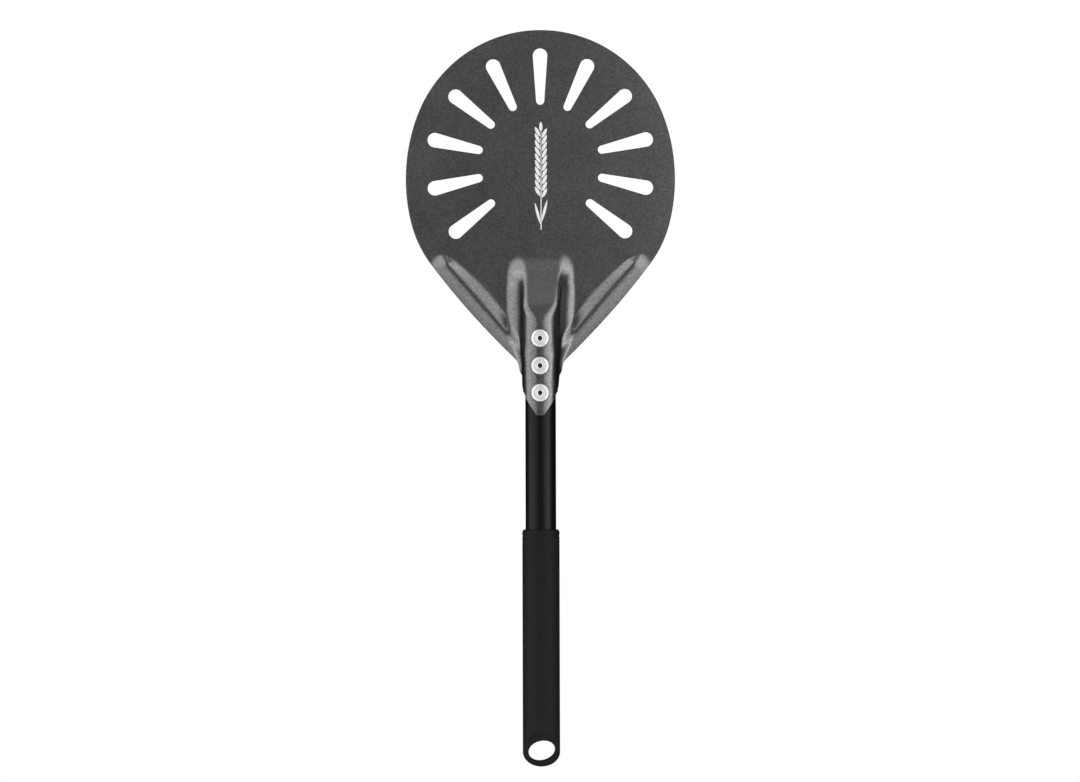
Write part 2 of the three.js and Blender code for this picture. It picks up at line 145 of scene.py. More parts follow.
# Shoulder ribs. Each slope eases off at its foot
RIB_START = (73.2, -72.8)
RIB_END = (26.8, -126.0)
RIB_HEIGHT = 3.6
RIB_OUTER_WIDTH = 12
RIB_OUTER_EASE = 0.75
RIB_INNER_WIDTH = 9.0
RIB_INNER_EASE = 0.25
RIB_WIDEST = 0.55
RIB_CREST = 1.3
RIB_RISE = (-7, 5)
RIB_START_Y = (DISC_END_Y, -71)

# Handle
TUBE_LOW, TUBE_HIGH = cad_size("handle_tube")
TUBE_RADIUS = (TUBE_HIGH[0] - TUBE_LOW[0]) / 2
TUBE_WALL = 1.4
TUBE_BACK_ROUND = 0.4
TUBE_FRONT_ROUND = 0.5
TUBE_SIDES = 128
AXIS_Z = (TUBE_LOW[2] + TUBE_HIGH[2]) / 2

GRIP_LOW, GRIP_HIGH = cad_size("grip")
GRIP_RADIUS = (GRIP_HIGH[0] - GRIP_LOW[0]) / 2
# The lip is (how much it narrows, length), the groove's points (depth, offset along the grip)
GRIP_LIP = (2.1, 2.2)
GRIP_GROOVE_Y = -279.8
GRIP_GROOVE = ((-0.12, -0.45), (-0.32, -0.15), (-0.32, 0.15), (-0.12, 0.45))
BORE_RADIUS = 11.8
BORE_END_Y = -420.4
EYE_HALF_THICKNESS = 7
EYE_TAPER = (-424, -438)
EYE_END_Y = -442
EYE_EDGE_ROUND = 2.6
EYE_SOFTNESS = 3
EYE_PROFILE_STEPS = 26
HANG_HOLE = (0.2, -440.9)
HANG_HOLE_AXES = (10.1, 7.2)
HANG_HOLE_TILT = math.radians(16)

# Rivets. BULB is the (radius, z) of the swelling inside the tube
RIVET_ENDS = ("front", "middle", "rear")
RIVET_Y = [np.mean([corner[1] for corner in cad_size(f"rivet_body_{end}")]) for end in RIVET_ENDS]
DIMPLE_DEPTH = 0.35
DIMPLE_RADII = (5.6, 8.6)
RIVET_BORE = 1.75
RIVET_SHANK = 3.2
RIVET_SHANK_TOP = 25.0
RIVET_SEAT_Z = 27.0
RIVET_SEAT_GAP = 0.05
RIVET_RIM_Z = 28.55
RIVET_CROWN_RADIUS = 3.55
RIVET_SIDES = 72
BULB = ((3.2, 18.5), (4.3, 19.6), (4.3, 21.8), (3.2, 23.2))
MANDREL_RADIUS = 1.45
MANDREL_HEAD_LENGTH = 2.4
MANDREL_SIDES = 40

# Ornament printed on the blade
ORNAMENT_X = 0.5
ORNAMENT_Y = (-49.5, 31.9)
GRAIN_LENGTH = 8.2
GRAIN_WIDTH = 2.5
GRAIN_LEAN = math.radians(27)
GRAIN_PITCH = 5.0
GRAIN_STAGGER = 1.2
LOWEST_GRAIN = 24
LEAF_LENGTH = 17
LEAF_WIDTH = 2.0
LEAF_LEAN = 0.25
PAINT_THICKNESS = 0.04

# Camera, in metres. The frame's width and centre are those seen on the underside's plane
CAMERA_LENS = 400
CAMERA_SENSOR = 36
CAMERA_LEAN = math.radians(1.2)
CAMERA_ROLL = math.radians(0.15)
FRAME_WIDTH = 0.8128
FRAME_CENTRE = (-0.00025, -0.1714)

# Studio, in metres. A softbox is (name, y of the point it faces, direction that it stands in
# with 0 for +X and 90 for +Y, its lower and upper angle from the vertical, radiance, length).
LIGHT_HEIGHT = 0.01
LIGHT_DISTANCE = 0.44
SOFTBOXES = (
    ("overhead", -0.20, 0, -12, 16, 0.24, 0.78),
    ("right_high", -0.11, 6, 21.5, 46, 1.4, 0.9),
    ("right_low", -0.11, 6, 46, 75, 2.3, 0.9),
    ("left_high", -0.10, 180, 23, 50, 1.0, 1.3),
    ("left_low", -0.10, 180, 54, 97, 1.5, 1.44),
    ("back", -0.10, 85, 48, 96, 0.45, 0.56),
    ("back_left", -0.10, 140, 36, 80, 0.6, 0.48),
    ("front", -0.10, 244, 36, 84, 0.6, 0.8),
    ("front_right", -0.10, 300, 54, 92, 0.6, 0.5),
)


# Mesh helpers ----------------------------------------------------------------

def eased(value, start, end):
    """Smoothly from 0 at the start to 1 at the end."""
    t = np.clip((value - start) / (end - start), 0, 1)
    return t * t * (3 - 2 * t)


def mix(a, b, t):
    """From a at 0 to b at 1."""
    return a + (b - a) * t


def make_object(name, vertices, faces, materials, flat=(), sharp=()):
    """A mesh object from millimetre vertices. flat holds the faces shaded flat,
    and sharp the vertices whose shared edges break the smooth shading."""
    mesh = bpy.data.meshes.new(name)
    mesh.from_pydata([tuple(v) for v in np.asarray(vertices, float) * MM], [], faces)
    mesh.update()
    smooth = np.ones(len(mesh.polygons), bool)
    smooth[list(flat)] = False
    mesh.polygons.foreach_set("use_smooth", smooth)
    if len(sharp):
        is_sharp = np.zeros(len(mesh.vertices), bool)
        is_sharp[list(sharp)] = True
        ends = np.zeros(len(mesh.edges) * 2, int)
        mesh.edges.foreach_get("vertices", ends)
        mesh.edges.foreach_set("use_edge_sharp", is_sharp[ends.reshape(-1, 2)].all(axis=1))
    for material in materials:
        mesh.materials.append(material)
    piece = bpy.data.objects.new(name, mesh)
    bpy.context.scene.collection.objects.link(piece)
    return piece


def rounded(corners, steps=5):
    """A closed outline of (x, y, radius) corners with each corner filleted."""
    points = []
    count = len(corners)
    for i, (x, y, radius) in enumerate(corners):
        here = np.array([x, y], float)
        before = np.array(corners[i - 1][:2], float)
        after = np.array(corners[(i + 1) % count][:2], float)
        if radius == 0:
            points.append(here)
            continue
        to_before = (before - here) / np.linalg.norm(before - here)
        to_after = (after - here) / np.linalg.norm(after - here)
        half = math.acos(np.clip(to_before @ to_after, -1, 1)) / 2
        reach = radius / math.tan(half)
        bisector = (to_before + to_after) / np.linalg.norm(to_before + to_after)
        centre = here + bisector * radius / math.sin(half)
        start = here + to_before * reach - centre
        end = here + to_after * reach - centre
        first = math.atan2(start[1], start[0])
        sweep = (math.atan2(end[1], end[0]) - first + math.pi) % (2 * math.pi) - math.pi
        for k in range(steps + 1):
            angle = first + sweep * k / steps
            points.append(centre + radius * np.array([math.cos(angle), math.sin(angle)]))
    return points


def spin(profile, segments):
    """Rings of a closed (radius, height) outline: x, y and height of their points, and faces."""
    profile = np.array(profile)
    turn = np.linspace(0, 2 * math.pi, segments, endpoint=False)
    x = np.outer(np.cos(turn), profile[:, 0])
    y = np.outer(np.sin(turn), profile[:, 0])
    h = np.broadcast_to(profile[:, 1], x.shape)
    count = len(profile)
    faces = []
    for i in range(segments):
        for j in range(count):
            a = i * count + j
            b = i * count + (j + 1) % count
            c = ((i + 1) % segments) * count + (j + 1) % count
            d = ((i + 1) % segments) * count + j
            faces.append((a, d, c, b))
    return x, y, h, faces


# Blade plan ------------------------------------------------------------------

def half_width(y):
    """Half of the blade's width at y, down to the waist."""
    if y > TIP_END_Y:
        return math.sqrt(max(0.0, TIP_RADIUS ** 2 - (y - TIP_CENTRE_Y) ** 2))
    if y > SIDE_END_Y:
        return SIDE_CENTRE[0] + math.sqrt(SIDE_RADIUS ** 2 - (y - SIDE_CENTRE[1]) ** 2)
    if y > HIP_END[1]:
        return HIP_CENTRE[0] + math.sqrt(HIP_RADIUS ** 2 - (y - HIP_CENTRE[1]) ** 2)
    if y > SHOULDER_END[1]:
        t = (y - HIP_END[1]) / (SHOULDER_END[1] - HIP_END[1])
        return mix(HIP_END[0], SHOULDER_END[0], t) + SHOULDER_BULGE * 4 * t * (1 - t)
    reach = WAIST_RADIUS / math.sqrt(2)
    centre_x, centre_y = SHOULDER_END[0] + reach, SHOULDER_END[1] - reach
    below = max(0, centre_y + WAIST_RADIUS * math.sin(WAIST_SLANT) - y)
    across = math.sqrt(WAIST_RADIUS ** 2 - (y + below - centre_y) ** 2)
    return centre_x - across - below * math.tan(WAIST_SLANT)


def disc_edge():
    """Points down the disc's right edge, from just past the tip to its end."""
    tip_angle = math.asin((TIP_END_Y - TIP_CENTRE_Y) / TIP_RADIUS)
    points = []
    for angle in np.linspace(math.pi / 2, tip_angle, TIP_STEPS)[1:]:
        points.append((TIP_RADIUS * math.cos(angle), TIP_CENTRE_Y + TIP_RADIUS * math.sin(angle)))
    for y in np.linspace(TIP_END_Y, DISC_END_Y, SIDE_STEPS)[1:-1]:
        points.append((half_width(y), y))
    return points


def slot_outline(angle):
    """Clockwise outline of one tapered slot on the spoke at an angle from +Y."""
    (inner, inner_radius), (outer, outer_radius) = SLOT_INNER, SLOT_OUTER
    lean = math.asin((outer_radius - inner_radius) / (outer - inner))
    side = math.pi / 2 + lean
    spoke = math.pi / 2 - angle
    points = []
    for distance, radius, start, end in (
        (outer, outer_radius, side, -side),
        (inner, inner_radius, -side, side - 2 * math.pi),
    ):
        for turn in np.linspace(start, end, SLOT_END_STEPS):
            points.append((
                distance * math.cos(spoke) + radius * math.cos(spoke + turn),
                distance * math.sin(spoke) + radius * math.sin(spoke + turn),
            ))
    return points


# Neck and ribs -----------------------------------------------------------------

def crown_height(y):
    """Height of the neck's crown above the flat sheet."""
    return NECK_HEIGHT * eased(y, *RAMP_Y)


def neck_section(y):
    """The neck's section at y, from the middle outwards: plateau, top corner,
    flank, flared foot in two radii, then flat. The flank's angle brings the foot
    out to its width; near the waist the flare is tighter on a longer flank."""
    height = crown_height(y)
    plateau = PLATEAU_HALF_WIDTH * (1 - eased(y, *PLATEAU_TAPER))
    plateau += PLATEAU_SPREAD * (1 - eased(y, *PLATEAU_SPREAD_TAPER))
    width = mix(FOOT_HALF_WIDTH, FOOT_HALF_WIDTH_AT_ARCH, eased(y, *FOOT_TAPER)) - plateau
    softness = CORNER_SOFTNESS * (1 - height / NECK_HEIGHT) ** 2
    foot_softness = FOOT_SOFTNESS * math.exp(-height / FOOT_SOFTNESS_FADE)

    def measure(angle, pinch):
        low, middle = (min(angle, bend) for bend in FLARE_ANGLES)
        outer, inner, foot = (mix(*pair, pinch) for pair in (FLARE_OUTER, FLARE_INNER, FOOT_REACH))
        corner = (ARCH_RADIUS - plateau) * math.sin(angle) + softness
        foot += foot_softness
        reach = corner + foot + outer * (math.sin(middle) - math.sin(low))
        reach += inner * (math.sin(angle) - math.sin(middle))
        rise = corner * math.tan(angle / 2) + foot * math.tan(low / 2)
        rise += outer * (math.cos(low) - math.cos(middle)) + inner * (math.cos(middle) - math.cos(angle))
        arcs = (
            (plateau, 0),
            (corner / math.sin(angle) * angle, angle),
            (inner * (angle - middle), middle - angle),
            (outer * (middle - low), low - middle),
            (foot / math.sin(low) * low, -low),
            (FAR, 0),
        )
        return reach, rise, arcs

    shallow, steep = 1e-6, STEEPEST_FLANK
    for _ in range(BISECTIONS):
        angle = (shallow + steep) / 2
        reach, rise, _ = measure(angle, 0)
        if rise + max(0, width - reach) * math.tan(angle) < height:
            shallow = angle
        else:
            steep = angle
    pinch = eased(y, *FLARE_TAPER)
    angle = mix(steep, STEEPEST_FLANK, pinch)
    _, rise, arcs = measure(angle, pinch)
    flank = max(0, height - rise) / math.sin(angle)
    steps = (*arcs[:2], (flank, 0), *arcs[2:])
    return SimpleNamespace(height=height, steps=steps, foot=sum(length for length, _ in steps[:-1]))


def walk(section, arc):
    """x and height at arc lengths from the middle of a section."""
    left = np.array(arc, float)
    x = np.zeros_like(left)
    z = np.full_like(left, section.height)
    heading = np.zeros_like(left)
    for length, turn in section.steps:
        travel = np.minimum(length, left)
        swing = turn * travel / length if length > 0 else 0 * travel
        chord = travel * np.sinc(swing / 2 / math.pi)
        x += chord * np.cos(heading + swing / 2)
        z -= chord * np.sin(heading + swing / 2)
        heading += swing
        left -= travel
    return x, z


def slope_down(distance, width, ease):
    """From 1 to 0 over a width: rounded at the crest, then an even slope that
    eases off at its foot."""
    crest = RIB_CREST / width
    fall = np.hypot(distance / width, crest) - crest
    blend = np.clip(0.5 + (1 - fall) / (2 * ease), 0, 1)
    return 1 - mix(1, fall, blend) + ease * blend * (1 - blend)


def rib_height(x, y):
    """Height of the shoulder rib above the flat sheet."""
    run = math.dist(RIB_START, RIB_END)
    along = ((RIB_END[0] - RIB_START[0]) / run, (RIB_END[1] - RIB_START[1]) / run)
    dx, dy = x - RIB_START[0], y - RIB_START[1]
    distance = dx * along[0] + dy * along[1]
    across = dx * along[1] - dy * along[0]
    from_widest = np.clip(distance / run, 0, 1) - RIB_WIDEST
    inner = slope_down(np.abs(across), RIB_INNER_WIDTH * (1 - 2 * from_widest ** 2), RIB_INNER_EASE)
    outer = slope_down(np.abs(across), RIB_OUTER_WIDTH, RIB_OUTER_EASE)
    rise = eased(distance, *RIB_RISE) * eased(y, *RIB_START_Y)
    return RIB_HEIGHT * rise * np.where(across > 0, inner, outer)


def dimple(x, y):
    """How far the clinched rivets press the half pipe in around their heads."""
    nearest = np.min([np.hypot(x, y - rivet_y) for rivet_y in RIVET_Y], axis=0)
    return DIMPLE_DEPTH * (1 - eased(nearest, *DIMPLE_RADII))


def edge_arc(y, section):
    """Arc length from the middle to the sheet's edge at y."""
    if y <= TONGUE_TIP[0]:
        t = (TONGUE_TIP[0] - y) / (TONGUE_TIP[0] - TONGUE_END_Y)
        return TONGUE_TIP[1] * math.sqrt(max(0.002, 1 - t * t))
    if y < TONGUE_CORNER[0]:
        t = (y - TONGUE_CORNER[0]) / (TONGUE_TIP[0] - TONGUE_CORNER[0])
        return mix(TONGUE_CORNER[1], TONGUE_TIP[1], t)
    if y < SWEEP_Y[1]:
        t = (y - SWEEP_Y[1]) / (TONGUE_CORNER[0] - SWEEP_Y[1])
        return mix(SWEEP_ARC_LENGTH, TONGUE_CORNER[1], t)
    short, long = 0.0, 200.0
    target = half_width(y)
    for _ in range(BISECTIONS):
        middle = (short + long) / 2
        if walk(section, [middle])[0][0] < target:
            short = middle
        else:
            long = middle
    return mix(long, SWEEP_ARC_LENGTH, eased(y, *SWEEP_Y))


def pressed_grid():
    """Middle surface of the pressed rear of the blade, as rows of points, and its
    normals. The neck's crown leans a little to the right."""
    stops = (
        (DISC_END_Y, 3), (RAMP_Y[0], 34), (-84, 34), (-104, 44), (-128, 24), (-142, 26),
        (SWEEP_Y[0], 42), (SWEEP_Y[1], 12), (TONGUE_CORNER[0], 40), (TONGUE_TIP[0], 10),
        (TONGUE_END_Y, 0),
    )
    rows = []
    for (y, count), (next_y, _) in zip(stops, stops[1:]):
        rows.extend(np.linspace(y, next_y, count, endpoint=False))
    rows.append(TONGUE_END_Y)
    grid = []
    for y in rows:
        section = neck_section(y)
        edge = edge_arc(y, section)
        foot = min(section.foot, NECK_COLUMN_SHARE * edge)
        arc = np.concatenate([
            np.linspace(0, foot, NECK_COLUMNS + 1),
            np.linspace(foot, edge, FLANGE_COLUMNS + 1)[1:],
        ])
        x, z = walk(section, arc)
        height = z + rib_height(x, y) * (1 - np.clip(z / NECK_HEIGHT, 0, 1)) - dimple(x, y)
        lean = NECK_LEAN * (1 - eased(y, *NECK_LEAN_TAPER)) * z / (section.height + 1)
        right = np.stack([x + lean, np.full_like(x, y), SHEET / 2 + height], axis=1)
        left = np.stack([lean - x, np.full_like(x, y), SHEET / 2 + height], axis=1)
        grid.append(np.concatenate([left[:0:-1], right]))
    grid = np.array(grid)
    normals = np.cross(np.gradient(grid, axis=1), -np.gradient(grid, axis=0))
    normals /= np.linalg.norm(normals, axis=2, keepdims=True)
    return grid, normals


def rim_rings(points, normals):
    """Bevelled rim around a loop of middle-surface points, from the upper face's
    border down to the lower face's border."""
    tangent = np.roll(points, -1, axis=0) - np.roll(points, 1, axis=0)
    outward = np.cross(tangent, normals)
    outward /= np.linalg.norm(outward, axis=1, keepdims=True)
    rings = [(reach, SHEET / 2 - drop) for reach, drop in EDGE_PROFILE]
    rings += [(reach, -lift) for reach, lift in reversed(rings)]
    return [points + outward * reach + normals * lift for reach, lift in rings]


class Surface:
    """Vertices and faces gathered for one mesh."""

    def __init__(self):
        self.vertices = []
        self.faces = []
        self.flat = []
        self.sharp = []

    def add(self, points):
        first = len(self.vertices)
        self.vertices.extend(np.asarray(points, float).reshape(-1, 3))
        return np.arange(first, len(self.vertices))

    def strip(self, upper, lower):
        """Quads between two closed rings."""
        count = len(upper)
        for k in range(count):
            n = (k + 1) % count
            self.faces.append((upper[k], lower[k], lower[n], upper[n]))

    def add_rim(self, points, normals):
        """A rim's faces. Returns its borders on the upper and the lower face."""
        rings = [self.add(ring) for ring in rim_rings(points, normals)]
        for upper, lower in zip(rings, rings[1:]):
            self.strip(upper, lower)
        self.sharp.extend(rings[0])
        self.sharp.extend(rings[-1])
        return rings[0], rings[-1]

    def fill_flat(self, loops, upward):
        """Triangles across a flat outline, the first loop, with convex holes, the
        others: a triangle with all its corners on one hole would fill it."""
        ids = np.concatenate(loops)
        corners = [Vector(self.vertices[i][:2]) for i in ids]
        edges, owner = [], []
        for number, loop in enumerate(loops):
            first = len(edges)
            edges += [(first + k, first + (k + 1) % len(loop)) for k in range(len(loop))]
            owner += [number] * len(loop)
        for a, b, c in delaunay_2d_cdt(corners, edges, [], KEEP_INSIDE, 1e-6)[2]:
            if owner[a] and owner[a] == owner[b] == owner[c]:
                continue
            self.flat.append(len(self.faces))
            self.faces.append((ids[a], ids[b], ids[c]) if upward else (ids[a], ids[c], ids[b]))


def make_blade(material):
    """The whole pressed sheet as one closed mesh: flat slotted disc, neck and ribs."""
    grid, normals = pressed_grid()
    row_count, column_count = grid.shape[:2]
    right_edge = [(x, y, SHEET / 2) for x, y in disc_edge()]
    left_edge = [(-x, y, z) for x, y, z in right_edge]
    tip = [(0, TIP_CENTRE_Y + TIP_RADIUS, SHEET / 2)]
    disc_count = len(left_edge) + 1
    up = np.array([0, 0, 1])

    border_points = np.concatenate([
        tip, left_edge, grid[:, 0], grid[-1, 1:-1], grid[::-1, -1], right_edge[::-1],
    ])
    border_normals = np.concatenate([
        np.tile(up, (disc_count, 1)), normals[:, 0], normals[-1, 1:-1], normals[::-1, -1],
        np.tile(up, (len(right_edge), 1)),
    ])
    surface = Surface()
    borders = surface.add_rim(border_points, border_normals)
    slots = []
    for step in range(-SLOT_SIDE_COUNT, SLOT_SIDE_COUNT + 1):
        outline = np.array([(x, y, SHEET / 2) for x, y in slot_outline(step * SLOT_PITCH)])
        slots.append(surface.add_rim(outline, np.tile(up, (len(outline), 1))))

    for side, (border, sign) in enumerate(zip(borders, (1, -1))):
        inner = surface.add(grid[:-1, 1:-1] + sign * normals[:-1, 1:-1] * SHEET / 2)
        inner = inner.reshape(row_count - 1, column_count - 2)
        left = border[disc_count:disc_count + row_count]
        end = border[disc_count + row_count:disc_count + row_count + column_count - 2]
        right_start = disc_count + row_count + column_count - 2
        right = border[right_start:right_start + row_count][::-1]
        ids = np.zeros((row_count, column_count), int)
        ids[:-1, 1:-1] = inner
        ids[-1, 1:-1] = end
        ids[:, 0] = left
        ids[:, -1] = right
        corners = np.stack([ids[:-1, :-1], ids[1:, :-1], ids[1:, 1:], ids[:-1, 1:]], axis=-1)
        corners = corners.reshape(-1, 4)
        surface.faces.extend(map(tuple, corners if sign > 0 else corners[:, ::-1]))
        seam = ids[0]
        outline = np.concatenate([border[:disc_count], seam, border[right_start + row_count:]])
        surface.fill_flat([outline] + [slot[side] for slot in slots], upward=sign > 0)
    faces = [tuple(int(i) for i in face) for face in surface.faces]
    return make_object("blade_sheet", surface.vertices, faces, [material], surface.flat, surface.sharp)


# Blade ornament ----------------------------------------------------------------

def leaf_outline(root, length, width, lean):
    """A pointed leaf from its root, leaning from +Y towards +X."""
    t = np.linspace(0, 1, 13)
    half = width / 2 * np.sin(math.pi * t) ** 0.8
    along = np.concatenate([t, t[-2:0:-1]]) * length
    across = np.concatenate([half, -half[-2:0:-1]])
    x = root[0] + along * math.sin(lean) + across * math.cos(lean)
    y = root[1] + along * math.cos(lean) - across * math.sin(lean)
    return list(zip(x, y))


def ornament_outlines():
    """A wheat ear: a stem, paired grains, one top grain and two long leaves."""
    low, high = ORNAMENT_Y
    shapes = [leaf_outline((ORNAMENT_X, high - GRAIN_LENGTH), GRAIN_LENGTH, GRAIN_WIDTH, 0)]
    y = high - GRAIN_LENGTH - 3
    while y > low + LOWEST_GRAIN:
        for side in (-1, 1):
            root = (ORNAMENT_X + side * 0.75, y - GRAIN_STAGGER * (side > 0))
            shapes.append(leaf_outline(root, GRAIN_LENGTH, GRAIN_WIDTH, side * GRAIN_LEAN))
        y -= GRAIN_PITCH
    for side in (-1, 1):
        root = (ORNAMENT_X + side * 0.5, low + 5 + side)
        shapes.append(leaf_outline(root, LEAF_LENGTH, LEAF_WIDTH, side * LEAF_LEAN))
    stem_top = high - GRAIN_LENGTH + 1
    shapes.append([
        (ORNAMENT_X - 0.4, low), (ORNAMENT_X + 0.4, low),
        (ORNAMENT_X + 0.25, stem_top), (ORNAMENT_X - 0.25, stem_top),
    ])
    return shapes


def make_ornament(material):
    """The ornament's shapes as thin closed plates on the serving face."""
    vertices, faces = [], []
    for outline in ornament_outlines():
        first, count = len(vertices), len(outline)
        for z in (SHEET, SHEET + PAINT_THICKNESS):
            vertices.extend((x, y, z) for x, y in outline)
        lower = list(range(first, first + count))
        upper = list(range(first + count, first + 2 * count))
        faces.append(tuple(lower))
        faces.append(tuple(reversed(upper)))
        for k in range(count):
            n = (k + 1) % count
            faces.append((lower[n], lower[k], upper[k], upper[n]))
    piece = make_object("blade_ornament", vertices, faces, [material], flat=range(len(faces)))
    recalculate_normals(piece)
    return piece


def recalculate_normals(piece):
    """Turns every face outwards."""
    work = bmesh.new()
    work.from_mesh(piece.data)
    bmesh.ops.recalc_face_normals(work, faces=work.faces)
    work.to_mesh(piece.data)
    work.free()


# Handle ------------------------------------------------------------------------

def make_tube(material):
    """Open tube with rounded ends."""
    outer, inner = TUBE_RADIUS, TUBE_RADIUS - TUBE_WALL
    back, front = TUBE_LOW[1], TUBE_HIGH[1]
    profile = rounded([
        (inner, back, TUBE_BACK_ROUND), (outer, back, TUBE_BACK_ROUND),
        (outer, front, TUBE_FRONT_ROUND), (inner, front, TUBE_BACK_ROUND),
    ])
    x, z, y, faces = spin(profile, TUBE_SIDES)
    points = np.stack([x, y, z + AXIS_Z], axis=-1).reshape(-1, 3)
    piece = make_object("tube", points, faces, [material])
    recalculate_normals(piece)
    return piece


def hole_edge(angle):
    """Point of the tilted hanging hole in a direction from its centre."""
    long, short = HANG_HOLE_AXES
    local = angle - HANG_HOLE_TILT
    reach = long * short / math.hypot(short * math.cos(local), long * math.sin(local))
    return np.array([HANG_HOLE[0] + reach * math.cos(angle), HANG_HOLE[1] + reach * math.sin(angle)])


def grip_border():
    """Outline of the eye in plan, from the round grip's right side anticlockwise:
    across the grip at the start of the taper, then down the left side and around."""
    start = EYE_TAPER[0]
    across = [(GRIP_RADIUS * math.cos(t), start) for t in np.linspace(0, math.pi, 41)]
    left = [(-GRIP_RADIUS, y) for y in np.linspace(start, EYE_END_Y, 15)[1:]]
    depth = EYE_END_Y - GRIP_LOW[1]
    around = [
        (GRIP_RADIUS * math.cos(t), EYE_END_Y + depth * math.sin(t))
        for t in np.linspace(math.pi, 2 * math.pi, 61)[1:]
    ]
    right = [(GRIP_RADIUS, y) for y in np.linspace(EYE_END_Y, start, 15)[1:-1]]
    return np.array(across + left + around + right), len(across)


def eye_height(x, y):
    """Half thickness of the grip over a point in plan, away from the hole."""
    depth = EYE_END_Y - GRIP_LOW[1]
    beyond = np.maximum(EYE_END_Y - y, 0) / depth
    side = GRIP_RADIUS * np.sqrt(np.maximum(0, 1 - (x / GRIP_RADIUS) ** 2 - beyond ** 2))
    cap = mix(GRIP_RADIUS, EYE_HALF_THICKNESS, eased(y, *EYE_TAPER))
    softness = EYE_SOFTNESS * eased(y, *EYE_TAPER) + 0.001
    blend = np.clip(0.5 + (side - cap) / (2 * softness), 0, 1)
    return mix(side, cap, blend) - softness * blend * (1 - blend)


def make_grip(material):
    """Round grip with a lip and a fine ring, flattening into the hanging eye."""
    border, across = grip_border()
    ray_count = len(border)
    upper = []
    for x, y in border:
        direction = math.atan2(y - HANG_HOLE[1], x - HANG_HOLE[0])
        inner = hole_edge(direction)
        span = np.array([x, y]) - inner
        length = np.linalg.norm(span)
        reach = min(EYE_EDGE_ROUND, 0.55 * length)
        crest = eye_height(*(inner + span * reach / length))
        wall = [(0, 0), (0, crest - reach)]
        corner = [
            (reach * (1 - math.cos(t)), crest - reach * (1 - math.sin(t)))
            for t in np.linspace(0, math.pi / 2, 8)[1:]
        ]
        points = [(*(inner + span * d / length), z) for d, z in wall + corner]
        for t in np.linspace(0, 1, EYE_PROFILE_STEPS)[1:]:
            d = mix(reach, length, math.sin(t * math.pi / 2))
            px, py = inner + span * d / length
            points.append((px, py, float(eye_height(px, py))))
        upper.append(points)
    upper = np.array(upper)
    surface = Surface()
    eye_top = surface.add(upper + (0, 0, AXIS_Z)).reshape(ray_count, -1)
    eye_bottom = surface.add(upper * (1, 1, -1) + (0, 0, AXIS_Z)).reshape(ray_count, -1)
    for ids, flip in ((eye_top, False), (eye_bottom, True)):
        for k in range(ray_count):
            n = (k + 1) % ray_count
            for j in range(ids.shape[1] - 1):
                face = (ids[k, j], ids[n, j], ids[n, j + 1], ids[k, j + 1])
                surface.faces.append(face[::-1] if flip else face)
    add_grip_barrel(surface, eye_top[:across, -1], eye_bottom[:across, -1])
    faces = [tuple(map(int, face)) for face in surface.faces]
    piece = make_object("grip_body", surface.vertices, faces, [material])
    weld(piece)
    recalculate_normals(piece)
    return piece


def add_grip_barrel(surface, top, bottom):
    """The round part, from the eye to the lip and back down the bore."""
    section = np.concatenate([top, bottom[-2:0:-1]])
    turns = [math.atan2(surface.vertices[i][2] - AXIS_Z, surface.vertices[i][0]) for i in section]
    front = GRIP_HIGH[1]
    lip_width, lip_length = GRIP_LIP
    radius = GRIP_RADIUS
    groove = GRIP_GROOVE_Y
    profile = [(radius, y) for y in np.linspace(EYE_TAPER[0], groove - 1.0, 40)[1:]]
    profile += [(radius + depth, groove + offset) for depth, offset in GRIP_GROOVE]
    profile.append((radius, groove + 0.9))
    profile += rounded_lip(radius, front, lip_width, lip_length)
    profile += [(BORE_RADIUS, front - 1.5), (BORE_RADIUS, front - 20), (BORE_RADIUS, BORE_END_Y)]
    previous = section
    for ring_radius, y in profile:
        ring = surface.add([
            (ring_radius * math.cos(t), y, AXIS_Z + ring_radius * math.sin(t)) for t in turns
        ])
        surface.strip(previous, ring)
        previous = ring
    centre = surface.add([(0, BORE_END_Y, AXIS_Z)])[0]
    for k in range(len(previous)):
        surface.faces.append((previous[k], centre, previous[(k + 1) % len(previous)]))


def rounded_lip(radius, front, width, length):
    """Rounded chamfer at the grip's mouth."""
    points = []
    for t in np.linspace(0, math.pi / 2, 9):
        points.append((radius - width * (1 - math.cos(t)), front - length * (1 - math.sin(t))))
    points.append((BORE_RADIUS + 0.05, front - 0.05))
    return points


def weld(piece):
    """Joins vertices that lie on each other."""
    work = bmesh.new()
    work.from_mesh(piece.data)
    bmesh.ops.remove_doubles(work, verts=work.verts, dist=WELD_DISTANCE)
    work.to_mesh(piece.data)
    work.free()


# Rivets ------------------------------------------------------------------------

